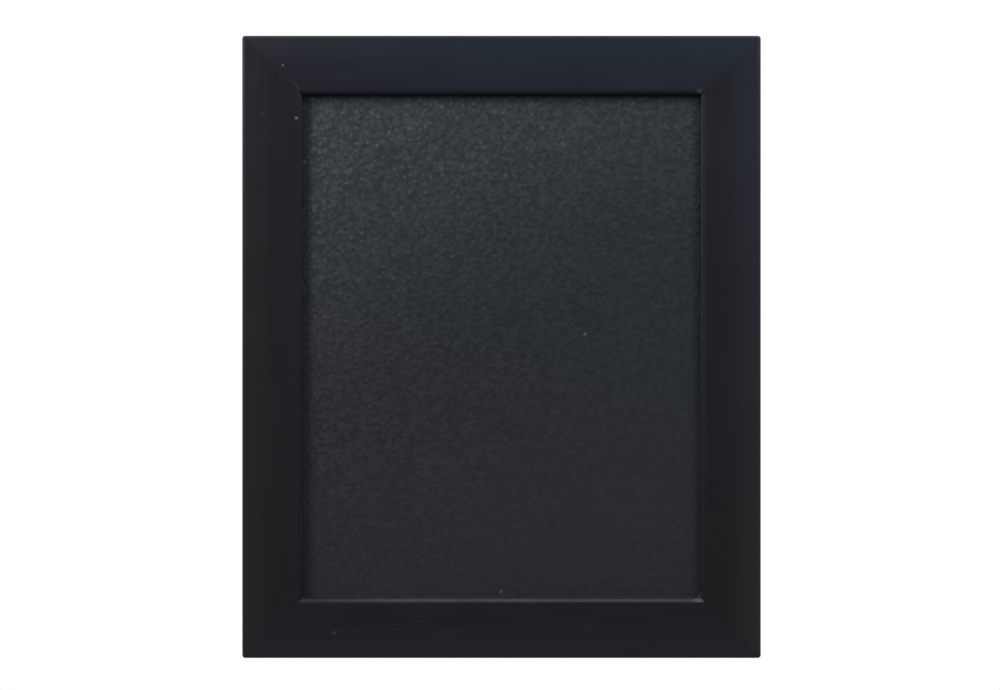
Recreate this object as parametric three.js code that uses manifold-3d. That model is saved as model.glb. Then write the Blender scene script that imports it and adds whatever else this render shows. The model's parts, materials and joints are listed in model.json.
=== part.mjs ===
// A wall chalkboard: four mitred lengths of black lacquered timber moulding hold a chalk panel in the rebate
// behind their inner edge. V-nails pin the mitres, flat steel points keep the panel in its rebate, and the
// board hangs on two D-rings, held parallel to the wall by two rubber bumpers.
// Millimetres. X runs to the right of someone who writes on the board, Z is up, and the wall is at +Y.
// The origin is on the wall, behind the centre of the board.
import * as THREE from "three";
import { mergeVertices, toCreasedNormals } from "three/addons/utils/BufferGeometryUtils.js";
import Module from "manifold-3d";

const wasm = await Module();
wasm.setup();

// The board's outside
const boardWidth = 200;
const boardHeight = 240;

// The moulding: a flat section with a rebate behind its inner edge and eased corners
const mouldingWidth = 23;
const mouldingThickness = 12;
const lipThickness = 4;
const rebateWidth = 7;
const outerRound = 1.2;
const sightRound = 2;
const backRound = 0.4;

// Fits that several pieces share
const glueLine = 0.1;
const seatGap = 0.1;
const drivenFit = 0.15;
const cutOverrun = 1;

// The panel: a black melamine writing sheet glued to a hardboard core, and loose enough to drop in
const sheetThickness = 0.8;
const coreThickness = 3;
const panelPlay = 0.5;

// V-nails: bent strips of steel, driven from behind across each mitre
const nailStrip = 0.5;
const nailLeg = 4;
const nailHalfAngle = THREE.MathUtils.degToRad(48);
const nailHook = 1.1;
const nailHookTurn = THREE.MathUtils.degToRad(75);
const nailDepth = 7;
const nailSink = 0.3;
const nailFromCorner = 6.5;
const nailPitch = 8;
const nailsPerCorner = 2;

// Framer's points: flat steel tabs, driven into the rebate's wall over the panel's back
const pointThickness = 0.4;
const pointWidth = 5.5;
const pointReach = 9;
const pointBite = 6;
const pointTaper = 2.6;
const pointTip = 1.2;
const pointCorner = 1.4;
const railPointSpacing = 84;
const stilePointSpacing = 104;

// D-ring hangers: a wire ring in a strap, which is folded round the ring's straight bar
const wireDiameter = 1.8;
const wireEndGap = 0.3;
const ringCorner = 1.4;
const ringPlay = 0.3;
const ringSidePlay = 1;
const strapThickness = 0.8;
const strapWidth = 8.5;
const strapLayerGap = 0.1;
const strapSlope = THREE.MathUtils.degToRad(52);
const strapBend = 0.9;
const hangerDrop = 52;

// The pan-head screw through both layers of each strap
const shankDiameter = 2.9;
const screwLength = 10;
const screwTip = 3;
const screwHolePlay = 0.2;
const headDiameter = 5.6;
const headHeight = 1.7;
const headRim = 0.5;
const headCrown = 3.4;
const headClearance = 0.5;
const recessSpan = 3;
const recessWidth = 0.8;
const recessDepth = 1.1;

// Bumpers: rubber buttons that keep the lower edge as far off the wall as the hangers keep the upper one
const bumperDiameter = 11;
const bumperFace = 8.6;
const bumperRim = 1.2;
const bumperRise = 34;

// How finely round things are cut
const arcSteps = 3;
const foldSteps = 12;
const bendSteps = 3;
const hookSteps = 4;
const turnSteps = 28;
const wireSteps = 60;
const wireArcSteps = 4;
const creaseAngle = THREE.MathUtils.degToRad(35);

// The hanger's side view, as heights off the back of the moulding
const wireRadius = wireDiameter / 2;
const foldRadius = wireRadius + ringPlay + strapThickness / 2;
const pivotHeight = strapThickness / 2 + foldRadius;
const hangerHeight = pivotHeight + foldRadius + strapThickness / 2;
const lowerLayer = strapThickness / 2;
const upperLayer = lowerLayer + strapThickness + strapLayerGap;
const strapTop = upperLayer + strapThickness / 2;

// The strap's upper layer comes down from the fold at a slope and is flat again at foldReach from the bar.
const slopeDrop = pivotHeight + foldRadius * Math.cos(strapSlope) - upperLayer;
const slopeRun = slopeDrop / Math.tan(strapSlope);
const foldReach = foldRadius * Math.sin(strapSlope) + slopeRun + strapBend * Math.tan(strapSlope / 2);

// The screw, the strap's round end and the folded ring's curve share one centre.
const screwDrop = foldReach + headClearance + headDiameter / 2;
const ringHalfWidth = strapWidth / 2 + ringSidePlay + wireRadius;
const ringReach = screwDrop + ringHalfWidth;
const ringLean = Math.asin((pivotHeight - wireRadius - seatGap) / ringReach);

// Places on the board, with depths counted from the wall to the writing side
const timberBack = -hangerHeight;
const timberFront = timberBack - mouldingThickness;
const sheetFront = timberFront + lipThickness + seatGap;
const coreFront = sheetFront + sheetThickness + glueLine;
const pointFront = coreFront + coreThickness + seatGap;
const backLand = mouldingWidth - rebateWidth;
const hangerX = boardWidth / 2 - backLand / 2;
const hangerZ = boardHeight / 2 - hangerDrop;
const bumperZ = bumperRise - boardHeight / 2;

const finishes = {
  blackLacquer: { color: 0x212227, roughness: 0.42, metalness: 0 },
  chalkFace: { color: 0x2d2e32, roughness: 0.62, metalness: 0 },
  hardboard: { color: 0x6f4c30, roughness: 0.85, metalness: 0 },
  blueSteel: { color: 0x8f9194, roughness: 0.5, metalness: 1 },
  nickelPlate: { color: 0xc4c1b8, roughness: 0.28, metalness: 1 },
  blackRubber: { color: 0x161618, roughness: 0.8, metalness: 0 },
};

function piece(name, geometry, finish) {
  const mesh = new THREE.Mesh(geometry, new THREE.MeshStandardMaterial(finishes[finish]));
  mesh.name = name;
  return mesh;
}

function at(object, x, y, z) {
  object.position.set(x, y, z);
  return object;
}

function groupOf(...children) {
  const group = new THREE.Group();
  group.add(...children);
  return group;
}

// Cutting: a closed geometry becomes a solid, and the solid that is left becomes a geometry again.
function solidOf(geometry) {
  const bare = new THREE.BufferGeometry();
  bare.setAttribute("position", geometry.getAttribute("position"));
  bare.setIndex(geometry.index);
  const merged = mergeVertices(bare);
  const vertProperties = merged.getAttribute("position").array;
  const triVerts = new Uint32Array(merged.index.array);
  return new wasm.Manifold(new wasm.Mesh({ numProp: 3, vertProperties, triVerts }));
}

function geometryOf(solid) {
  const { vertProperties, triVerts } = solid.getMesh();
  const geometry = new THREE.BufferGeometry();
  geometry.setAttribute("position", new THREE.BufferAttribute(vertProperties, 3));
  geometry.setIndex(new THREE.BufferAttribute(triVerts, 1));
  return toCreasedNormals(geometry, creaseAngle);
}

function cut(solid, cutters) {
  return cutters.reduce((left, cutter) => left.subtract(solidOf(cutter)), solid);
}

// A section whose x runs down the board, made into a bar along x that is centred on x = 0
function bar(section, length) {
  const settings = { depth: length, bevelEnabled: false, curveSegments: arcSteps };
  return new THREE.ExtrudeGeometry(section, settings).rotateY(Math.PI / 2).translate(-length / 2, 0, 0);
}

// A flat outline in x and z, made into a plate from y = 0 towards the writing side
function plate(outline, thickness) {
  const settings = { depth: thickness, bevelEnabled: false, curveSegments: arcSteps };
  return new THREE.ExtrudeGeometry(outline, settings).rotateX(Math.PI / 2);
}

// A profile of [radius, y] points, turned round the y axis
function turned(profile) {
  return new THREE.LatheGeometry(profile.map(([radius, y]) => new THREE.Vector2(radius, y)), turnSteps);
}

// Points on an arc
function arc(centre, radius, from, to, steps) {
  return Array.from({ length: steps + 1 }, (_, i) => {
    const angle = from + ((to - from) * i) / steps;
    return new THREE.Vector2(Math.cos(angle), Math.sin(angle)).multiplyScalar(radius).add(centre);
  });
}

// [radius, y] points of a rounded shoulder, which climbs from its foot while it closes in on the axis
function shoulder(outerRadius, innerRadius, foot, top) {
  const quarter = arc(new THREE.Vector2(), 1, 0, Math.PI / 2, bendSteps);
  return quarter.map(({ x, y }) => [
    innerRadius + (outerRadius - innerRadius) * x,
    foot + (top - foot) * y,
  ]);
}

// The outline of a bent strip: its middle line, moved half a thickness to either side, with mitred bends
function stripOutline(line, thickness) {
  const left = [];
  const right = [];
  line.forEach((point, i) => {
    const arriving = point.clone().sub(line[Math.max(i - 1, 0)]).normalize();
    const leaving = line[Math.min(i + 1, line.length - 1)].clone().sub(point).normalize();
    const along = arriving.clone().add(leaving).normalize();
    const mitre = Math.max(along.dot(arriving), along.dot(leaving));
    const across = new THREE.Vector2(-along.y, along.x).multiplyScalar(thickness / 2 / mitre);
    left.push(point.clone().add(across));
    right.unshift(point.clone().sub(across));
  });
  return new THREE.Shape([...left, ...right]);
}

// V-nails. Each is drawn from behind with the point of its V at the origin and its legs opening towards -x.
// The ends hook outwards and back, which draws the mitre together as the nail goes in.
function nailLine(play) {
  const heading = Math.PI - nailHalfAngle;
  const legEnd = new THREE.Vector2(Math.cos(heading), Math.sin(heading)).multiplyScalar(nailLeg);
  const start = heading + Math.PI / 2;
  const towardsLeg = new THREE.Vector2(Math.cos(start), Math.sin(start)).multiplyScalar(nailHook);
  const end = start - nailHookTurn - play / nailHook;
  const upper = arc(legEnd.sub(towardsLeg), nailHook, start, end, hookSteps);
  const lower = upper.map(({ x, y }) => new THREE.Vector2(x, -y));
  return [...upper.reverse(), new THREE.Vector2(), ...lower];
}

function nailGeometry() {
  return plate(stripOutline(nailLine(0), nailStrip), nailDepth).translate(0, -nailSink, 0);
}

function nailSlot() {
  const outline = stripOutline(nailLine(drivenFit), nailStrip + 2 * drivenFit);
  const depth = cutOverrun + nailSink + nailDepth + drivenFit;
  return plate(outline, depth).translate(0, cutOverrun, 0);
}

// Where the nails stand on a side's two mitres: end is -1 or 1, and the V points at the outer corner.
function nailPlaces(length) {
  return [-1, 1].flatMap((end) =>
    Array.from({ length: nailsPerCorner }, (_, i) => {
      const inwards = (nailFromCorner + i * nailPitch) * Math.SQRT1_2;
      const turn = end > 0 ? -Math.PI / 4 : (-3 * Math.PI) / 4;
      return { end, number: i + 1, x: end * (length / 2 - inwards), z: -inwards, turn };
    }),
  );
}

// Framer's points. Each is drawn from behind, with the rebate's wall along z = 0 and its tip at +z.
function pointOutline(play) {
  const half = pointWidth / 2 + play;
  const tip = pointTip / 2 + play;
  const outline = new THREE.Shape();
  outline.moveTo(-tip, pointBite + play);
  outline.lineTo(-half, pointBite - pointTaper);
  outline.lineTo(-half, pointCorner - pointReach);
  outline.absarc(pointCorner - half, pointCorner - pointReach, pointCorner, Math.PI, 1.5 * Math.PI);
  outline.absarc(half - pointCorner, pointCorner - pointReach, pointCorner, 1.5 * Math.PI, 2 * Math.PI);
  outline.lineTo(half, pointBite - pointTaper);
  outline.lineTo(tip, pointBite + play);
  return outline;
}

function pointGeometry() {
  return plate(pointOutline(0), pointThickness);
}

function pointSlot() {
  return plate(pointOutline(drivenFit), pointThickness + 2 * drivenFit).translate(0, drivenFit, 0);
}

function pointPlaces(spacing) {
  const y = pointFront + pointThickness - timberBack;
  return [-1, 1].map((end) => ({ end, x: (end * spacing) / 2, y, z: -backLand }));
}

// The moulding's section: x is the distance in from the outer edge, and y = 0 is the back.
function mouldingSection() {
  const front = -mouldingThickness;
  const lipBack = front + lipThickness;
  const section = new THREE.Shape();
  section.moveTo(backLand, 0);
  section.lineTo(backLand, lipBack);
  section.lineTo(mouldingWidth, lipBack);
  section.lineTo(mouldingWidth, front + sightRound);
  section.absarc(mouldingWidth - sightRound, front + sightRound, sightRound, 0, -Math.PI / 2, true);
  section.lineTo(outerRound, front);
  section.absarc(outerRound, front + outerRound, outerRound, -Math.PI / 2, -Math.PI, true);
  section.lineTo(0, -backRound);
  section.absarc(backRound, -backRound, backRound, Math.PI, Math.PI / 2, true);
  return section;
}

// A length of moulding along x, mitred at both ends, with its outer edge on z = 0 and its back on y = 0.
// Each mitre stands back from the corner's diagonal by half of the glue line.
function mitredMoulding(length) {
  const geometry = bar(mouldingSection(), length);
  const position = geometry.getAttribute("position");
  const setBack = (glueLine / 2) * Math.SQRT2;
  for (let i = 0; i < position.count; i++) {
    const inwards = -position.getZ(i);
    position.setX(i, Math.sign(position.getX(i)) * (length / 2 - inwards - setBack));
  }
  return solidOf(geometry);
}

// The four sides. Each is drawn as a top rail and turned to its place round the middle of the board.
// ends says where its ends at -x and +x come to lie.
const railSize = { length: boardWidth, reach: boardHeight / 2, pointSpacing: railPointSpacing };
const stileSize = { length: boardHeight, reach: boardWidth / 2, pointSpacing: stilePointSpacing };
const sides = [
  { edge: "top", kind: "rail", ...railSize, turn: 0, ends: ["left", "right"] },
  { edge: "right", kind: "stile", ...stileSize, turn: Math.PI / 2, ends: ["upper", "lower"] },
  { edge: "bottom", kind: "rail", ...railSize, turn: Math.PI, ends: ["right", "left"] },
  { edge: "left", kind: "stile", ...stileSize, turn: -Math.PI / 2, ends: ["lower", "upper"] },
];

function frameSide({ edge, kind, length, reach, pointSpacing, turn, ends }) {
  const nails = nailPlaces(length);
  const points = pointPlaces(pointSpacing);
  const cutters = [
    ...nails.map((nail) => nailSlot().rotateY(nail.turn).translate(nail.x, 0, nail.z)),
    ...points.map((point) => pointSlot().translate(point.x, point.y, point.z)),
  ];
  if (kind === "stile") {
    const screwX = -Math.sin(turn) * (hangerZ - screwDrop);
    cutters.push(pilotHole().translate(screwX, 0, -backLand / 2));
  }
  const moulding = piece(`${edge}_${kind}`, geometryOf(cut(mitredMoulding(length), cutters)), "blackLacquer");
  const side = groupOf(moulding);
  const endName = (end) => ends[end < 0 ? 0 : 1];
  for (const { end, x, y, z } of points) {
    side.add(at(piece(`framer_point_${edge}_${endName(end)}`, pointGeometry(), "blueSteel"), x, y, z));
  }
  if (kind === "rail") {
    for (const nail of nails) {
      const name = `v_nail_${edge}_${endName(nail.end)}_${nail.number}`;
      const mesh = at(piece(name, nailGeometry(), "blueSteel"), nail.x, 0, nail.z);
      mesh.rotation.y = nail.turn;
      side.add(mesh);
    }
  }
  side.rotation.y = turn;
  return at(side, Math.sin(turn) * reach, timberBack, Math.cos(turn) * reach);
}

// The panel fills the rebate, less its play all round.
function panel() {
  const width = boardWidth - 2 * (backLand + panelPlay);
  const height = boardHeight - 2 * (backLand + panelPlay);
  const layer = (name, thickness, front, finish) => {
    const geometry = new THREE.BoxGeometry(width, thickness, height);
    return at(piece(name, geometry, finish), 0, front + thickness / 2, 0);
  };
  return groupOf(
    layer("writing_sheet", sheetThickness, sheetFront, "chalkFace"),
    layer("panel_core", coreThickness, coreFront, "hardboard"),
  );
}

// Hangers. They are drawn with the moulding's back on y = 0, the wall's side at +y, and the ring's bar over
// the origin.

// The strap's middle line in its side view, with x running down: up the moulding, round the bar and back.
function strapLine() {
  const pivot = new THREE.Vector2(0, pivotHeight);
  const bend = new THREE.Vector2(foldReach, upperLayer + strapBend);
  const tail = screwDrop + strapWidth / 2 + cutOverrun;
  const quarter = Math.PI / 2;
  return [
    new THREE.Vector2(tail, lowerLayer),
    ...arc(pivot, foldRadius, -quarter, -3 * quarter - strapSlope, foldSteps),
    ...arc(bend, strapBend, -quarter - strapSlope, -quarter, bendSteps),
    new THREE.Vector2(tail, upperLayer),
  ];
}

// The strap from behind: straight sides, and a round end below
function strapOutline() {
  const half = strapWidth / 2;
  const top = hangerHeight / 2 + cutOverrun;
  const outline = new THREE.Shape();
  outline.moveTo(half, top);
  outline.lineTo(-half, top);
  outline.absarc(0, -screwDrop, half, Math.PI, 2 * Math.PI);
  return outline;
}

function strapGeometry() {
  const folded = solidOf(bar(stripOutline(strapLine(), strapThickness), strapWidth + 2 * cutOverrun));
  const depth = hangerHeight + 2 * cutOverrun;
  const blank = plate(strapOutline(), depth).translate(0, hangerHeight + cutOverrun, 0);
  const holeRadius = shankDiameter / 2 + screwHolePlay;
  const hole = new THREE.CylinderGeometry(holeRadius, holeRadius, depth, turnSteps);
  hole.translate(0, hangerHeight / 2, -screwDrop);
  return geometryOf(cut(folded.intersect(solidOf(blank)), [hole]));
}

// The wire's middle line in x and z. Its two ends meet in the middle of the bar, hidden by the strap.
class RingCurve extends THREE.Curve {
  constructor() {
    super();
    const corner = ringHalfWidth - ringCorner;
    this.flat = new THREE.Path().moveTo(wireEndGap / 2, 0).lineTo(corner, 0);
    this.flat.absarc(corner, ringCorner, ringCorner, -Math.PI / 2, 0);
    this.flat.absarc(0, screwDrop, ringHalfWidth, 0, Math.PI);
    this.flat.absarc(-corner, ringCorner, ringCorner, Math.PI, 1.5 * Math.PI);
    this.flat.lineTo(-wireEndGap / 2, 0);
  }

  getPoint(share, target = new THREE.Vector3()) {
    const { x, y } = this.flat.getPoint(share);
    return target.set(x, 0, y);
  }
}

function ringGeometry() {
  const section = new THREE.Shape().absarc(0, 0, wireRadius, 0, 2 * Math.PI);
  const settings = { steps: wireSteps, curveSegments: wireArcSteps, extrudePath: new RingCurve() };
  return new THREE.ExtrudeGeometry(section, settings);
}

function screwGeometry() {
  const seat = strapTop + seatGap;
  const screw = turned([
    [0, seat - screwLength],
    [shankDiameter / 2, seat - screwLength + screwTip],
    [shankDiameter / 2, seat],
    [headDiameter / 2, seat],
    ...shoulder(headDiameter / 2, headCrown / 2, seat + headRim, seat + headHeight),
    [0, seat + headHeight],
  ]);
  const slots = [0, Math.PI / 2].map((turn) => {
    const slot = new THREE.BoxGeometry(recessSpan, 2 * recessDepth, recessWidth);
    return slot.rotateY(turn).translate(0, seat + headHeight, 0);
  });
  return geometryOf(cut(solidOf(screw), slots));
}

function pilotHole() {
  const tip = strapTop + seatGap - screwLength;
  const radius = shankDiameter / 2 + drivenFit;
  return turned([
    [0, tip - drivenFit],
    [radius, tip + screwTip],
    [radius, cutOverrun],
    [0, cutOverrun],
  ]);
}

function hanger(side, end) {
  const ring = at(piece(`${side}_d_ring`, ringGeometry(), "nickelPlate"), 0, pivotHeight, 0);
  ring.rotation.x = ringLean;
  const strap = piece(`${side}_hanger_strap`, strapGeometry(), "nickelPlate");
  const screw = at(piece(`${side}_hanger_screw`, screwGeometry(), "nickelPlate"), 0, 0, -screwDrop);
  return at(groupOf(ring, strap, screw), end * hangerX, timberBack, hangerZ);
}

function bumper(side, end) {
  const geometry = turned([
    [0, glueLine],
    [bumperDiameter / 2, glueLine],
    ...shoulder(bumperDiameter / 2, bumperFace / 2, bumperRim, hangerHeight),
    [0, hangerHeight],
  ]);
  return at(piece(`${side}_bumper`, geometry, "blackRubber"), end * hangerX, timberBack, bumperZ);
}

export default groupOf(
  ...sides.map(frameSide),
  panel(),
  hanger("left", -1),
  hanger("right", 1),
  bumper("left", -1),
  bumper("right", 1),
);
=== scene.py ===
# %% [markdown]
# A wall chalkboard
#
# This lesson dresses a small framed chalkboard. Its measured model, made in CAD, comes in as a fixed
# frame: it says where every piece is and what turns about what. Blender adds what the eye sees, which
# here is mostly black lacquer, a pebbled writing face and small steel fittings on the back.
#
# The board faces -Y, +X is to the writer's right, +Z is up, and the wall is at Y = 0. All lengths are
# metres.

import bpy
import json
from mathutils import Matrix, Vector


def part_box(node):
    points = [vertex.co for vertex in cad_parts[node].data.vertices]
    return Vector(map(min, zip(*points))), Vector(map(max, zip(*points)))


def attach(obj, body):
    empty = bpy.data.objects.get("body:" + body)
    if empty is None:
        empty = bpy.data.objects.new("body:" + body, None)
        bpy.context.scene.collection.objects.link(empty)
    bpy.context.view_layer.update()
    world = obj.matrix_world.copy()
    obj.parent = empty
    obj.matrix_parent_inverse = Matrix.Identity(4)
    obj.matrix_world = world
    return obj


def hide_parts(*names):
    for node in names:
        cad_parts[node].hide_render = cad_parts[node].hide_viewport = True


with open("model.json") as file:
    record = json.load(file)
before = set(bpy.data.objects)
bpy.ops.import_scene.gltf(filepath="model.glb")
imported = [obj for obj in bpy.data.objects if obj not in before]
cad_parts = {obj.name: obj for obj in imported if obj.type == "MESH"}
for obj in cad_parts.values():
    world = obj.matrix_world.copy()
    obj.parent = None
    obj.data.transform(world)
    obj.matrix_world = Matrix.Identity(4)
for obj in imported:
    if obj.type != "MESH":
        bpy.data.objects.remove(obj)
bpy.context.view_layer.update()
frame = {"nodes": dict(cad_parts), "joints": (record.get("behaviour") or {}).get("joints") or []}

import json
import math

import bmesh
import bpy
from mathutils import Matrix, Vector

MM = 0.001
BOARD = "frame"
WALL_SIDE = Vector((0, 1, 0))


def in_mm(lengths):
    """Lengths turned into millimetres, for the lines that the cells print."""
    return [round(length / MM, 2) for length in lengths]


# %% [markdown]
# The camera. The photograph looks straight at the board from far off: its sides are parallel and only a
# sliver of inner wall shows. A long lens far away gives that. The distance follows from the lens and from
# how many pixels a millimetre takes at the board's front, and the board sits a hair right of and below
# the middle.

# %% Camera
PHOTO_WIDTH = 1000
PIXELS_PER_MM = 2.5955
LENS = 100.0
SENSOR = 36.0
OFF_MIDDLE = Vector((-0.58, 0, 0.73)) * MM

board_low, board_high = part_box("top_rail")
front_face = board_low.y
camera_distance = LENS / SENSOR * PHOTO_WIDTH / PIXELS_PER_MM * MM

camera_data = bpy.data.cameras.new("photo_camera")
camera_data.lens = LENS
camera_data.sensor_width = SENSOR
camera = bpy.data.objects.new("photo_camera", camera_data)
camera.location = OFF_MIDDLE + Vector((0, front_face - camera_distance, 0))
camera.rotation_euler = (math.pi / 2, 0, 0)
bpy.context.collection.objects.link(camera)
bpy.context.scene.camera = camera
bpy.context.scene.view_settings.view_transform = "Standard"
print("Camera", round(camera_distance, 3), "m in front of the board")

# %% [markdown]
# Node helpers. A material is a small graph, and writing it out socket by socket hides its idea. These
# helpers add a node or two and hand back an output, so that a graph reads like a sum: a number, a colour
# or another node's output can go into any of them.

# %% Node helpers
def feed(tree, socket, value):
    """Puts a number, a colour or another node's output on a socket."""
    if isinstance(value, bpy.types.NodeSocket):
        tree.links.new(value, socket)
    else:
        socket.default_value = value


def math_node(tree, operation, *values):
    """One Math node, such as SINE or MAXIMUM."""
    node = tree.nodes.new("ShaderNodeMath")
    node.operation = operation
    for socket, value in zip(node.inputs, values):
        feed(tree, socket, value)
    return node.outputs[0]


def added(tree, first, second):
    """Two masks or numbers added up."""
    return math_node(tree, "ADD", first, second)


def product(tree, *values):
    """Several masks or numbers multiplied together."""
    result = values[0]
    for value in values[1:]:
        result = math_node(tree, "MULTIPLY", result, value)
    return result


def ramp(tree, value, low, high, to_low=0.0, to_high=1.0):
    """Carries a value from one range to another, with soft ends."""
    node = tree.nodes.new("ShaderNodeMapRange")
    node.interpolation_type = "SMOOTHSTEP"
    for socket, number in zip(node.inputs, (value, low, high, to_low, to_high)):
        feed(tree, socket, number)
    return node.outputs[0]


def mixed(tree, share, first, second):
    """A colour between two colours."""
    node = tree.nodes.new("ShaderNodeMix")
    node.data_type = "RGBA"
    for index, value in ((0, share), (6, first), (7, second)):
        feed(tree, node.inputs[index], value)
    return node.outputs[2]


def either(tree, share, first, second):
    """A shader between two shaders."""
    node = tree.nodes.new("ShaderNodeMixShader")
    for socket, value in zip(node.inputs, (share, first, second)):
        feed(tree, socket, value)
    return node.outputs[0]


def place_on_piece(tree, stretch=(1, 1, 1)):
    """Object coordinates, stretched: a large number packs the pattern tightly along that axis."""
    coordinates = tree.nodes.new("ShaderNodeTexCoord")
    mapping = tree.nodes.new("ShaderNodeMapping")
    mapping.inputs["Scale"].default_value = stretch
    tree.links.new(coordinates.outputs["Object"], mapping.inputs["Vector"])
    return mapping.outputs[0]


def split(tree, vector):
    """The X, Y and Z of a vector, by name."""
    node = tree.nodes.new("ShaderNodeSeparateXYZ")
    tree.links.new(vector, node.inputs[0])
    return {axis: node.outputs[axis] for axis in "XYZ"}


def distance_to(tree, vector, place):
    """How far each point of the piece is from a place."""
    node = tree.nodes.new("ShaderNodeVectorMath")
    node.operation = "DISTANCE"
    tree.links.new(vector, node.inputs[0])
    node.inputs[1].default_value = place
    return node.outputs["Value"]


def noise(tree, vector, scale, detail=2.0, roughness=0.5):
    """Soft irregular variation from 0 to 1, with scale features to a metre."""
    node = tree.nodes.new("ShaderNodeTexNoise")
    node.inputs["Scale"].default_value = scale
    node.inputs["Detail"].default_value = detail
    node.inputs["Roughness"].default_value = roughness
    tree.links.new(vector, node.inputs["Vector"])
    return node.outputs[0]


def relief(tree, height, depth, under=None, strength=1.0):
    """Bump: the height runs from 0 to 1 over a depth in metres, on top of the relief under it."""
    node = tree.nodes.new("ShaderNodeBump")
    feed(tree, node.inputs["Strength"], strength)
    node.inputs["Distance"].default_value = depth
    tree.links.new(height, node.inputs["Height"])
    if under is not None:
        tree.links.new(under, node.inputs["Normal"])
    return node.outputs[0]


def new_finish(name, **plain):
    """A material with one Principled shader. Values that are the same all over go on its own sockets."""
    material = bpy.data.materials.new(name)
    material.use_nodes = True
    shader = material.node_tree.nodes["Principled BSDF"]
    for socket, value in plain.items():
        shader.inputs[socket.replace("_", " ")].default_value = value
    return material, material.node_tree, shader


print("Node helpers ready")

# %% [markdown]
# The studio. The photograph has a pure white ground and no shadow, which is how a board is cut out after
# a shoot on white. A world that is white to the camera, and to glossy and clear surfaces, gives that
# ground without any more light on the board, and a dimmer grey world lights the rest softly from all
# round.

# %% World
AMBIENT = 0.21
AMBIENT_TINT = (0.98, 0.99, 1.0, 1)
WHITE = (1, 1, 1, 1)


def background_rays(tree):
    """1 for the rays that show a background: to the camera, in a gloss and through glass."""
    rays = tree.nodes.new("ShaderNodeLightPath")
    seen = math_node(tree, "MAXIMUM", rays.outputs["Is Camera Ray"], rays.outputs["Is Glossy Ray"])
    return math_node(tree, "MAXIMUM", seen, rays.outputs["Is Transmission Ray"])


world = bpy.data.worlds.new("studio")
world.use_nodes = True
bpy.context.scene.world = world
tree = world.node_tree
ambient = tree.nodes["Background"]
ambient.inputs["Color"].default_value = AMBIENT_TINT
ambient.inputs["Strength"].default_value = AMBIENT
white_ground = tree.nodes.new("ShaderNodeBackground")
white_ground.inputs["Color"].default_value = WHITE
white_ground.inputs["Strength"].default_value = 1.0
surroundings = either(tree, background_rays(tree), ambient.outputs[0], white_ground.outputs[0])
tree.links.new(surroundings, tree.nodes["World Output"].inputs["Surface"])
print("World: ambient", AMBIENT)

# %% [markdown]
# The floor. A board like this hangs at the height of a hand, so the floor lies well below it and stays
# out of the photograph's view. It is pale, it takes the board's soft shadow, and to the camera and in a
# gloss it glows a little. The glow rises with the distance, so that the far edge melts into the white
# ground. Its underside is clear, so that the board can be looked at from below too.

# %% Floor
FLOOR_DROP = 0.6
FLOOR_HALF = 2.4
FLOOR_TONE = (0.8, 0.8, 0.8, 1)
FLOOR_GLOW = 0.38
EDGE_GLOW = 0.85
GLOW_FROM = 1.0
GLOW_TO = 2.2

bm = bmesh.new()
bmesh.ops.create_grid(bm, x_segments=1, y_segments=1, size=FLOOR_HALF)
bmesh.ops.translate(bm, vec=(0, 0, -FLOOR_DROP), verts=bm.verts)
floor_mesh = bpy.data.meshes.new("floor")
bm.to_mesh(floor_mesh)
bm.free()
floor = bpy.data.objects.new("floor", floor_mesh)
bpy.context.collection.objects.link(floor)

pale, tree, shader = new_finish("pale_floor", Base_Color=FLOOR_TONE, Roughness=0.9)
shader.inputs["Emission Color"].default_value = WHITE
from_middle = distance_to(tree, place_on_piece(tree), (0, 0, -FLOOR_DROP))
glow = ramp(tree, from_middle, GLOW_FROM, GLOW_TO, FLOOR_GLOW, EDGE_GLOW)
feed(tree, shader.inputs["Emission Strength"], product(tree, background_rays(tree), glow))
underside = tree.nodes.new("ShaderNodeNewGeometry").outputs["Backfacing"]
clear = tree.nodes.new("ShaderNodeBsdfTransparent").outputs[0]
one_sided = either(tree, underside, shader.outputs[0], clear)
tree.links.new(one_sided, tree.nodes["Material Output"].inputs["Surface"])
floor_mesh.materials.append(pale)
print("Floor", FLOOR_DROP, "m below the board's middle")

# %% [markdown]
# Lamps. The shadows on the panel tell how the board was lit. The one under the top lip is deep, the ones
# beside the left and right lips are as wide but only half as dark, and there is none at the bottom. So
# two broad lamps stand high on either side, each further out than it is in front, and close enough to
# fade down the board. The left one is the stronger, as the brighter upper left of the panel shows. A
# strip overhead adds the cool light on the top rail, and one lamp behind shows the fittings on the back.

# %% Lamps
def softbox(name, place, target, size, watts, tint):
    """A rectangular area lamp at place that faces target. Its size is its width and height in metres."""
    lamp = bpy.data.lights.new(name, "AREA")
    lamp.shape = "RECTANGLE"
    lamp.size, lamp.size_y = size
    lamp.energy = watts
    lamp.color = tint
    stand = bpy.data.objects.new(name, lamp)
    stand.location = place
    stand.rotation_euler = (Vector(target) - Vector(place)).to_track_quat("-Z", "Y").to_euler()
    stand.visible_camera = False
    bpy.context.collection.objects.link(stand)
    return stand


NEUTRAL_WHITE = (0.98, 0.985, 1.0)
COOL_WHITE = (0.95, 0.98, 1.0)
SKY_BLUE = (0.50, 0.80, 1.0)
PLAIN_WHITE = (1.0, 1.0, 1.0)
middle_of_front = (0, front_face, 0)
top_of_front = (0, front_face, 0.05)
middle_of_back = (0, 0, 0)
lamps = [
    softbox("upper_left", (-0.385, -0.26, 0.265), middle_of_front, (0.15, 0.26), 2.42, NEUTRAL_WHITE),
    softbox("upper_right", (0.315, -0.285, 0.275), middle_of_front, (0.16, 0.26), 1.33, COOL_WHITE),
    softbox("overhead", (0.0, -0.30, 0.42), top_of_front, (0.60, 0.10), 0.9, SKY_BLUE),
    softbox("back_above", (0.55, 0.75, 0.60), middle_of_back, (0.60, 0.60), 6.0, PLAIN_WHITE),
]
print("Lamps:", [lamp.name for lamp in lamps])

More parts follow.
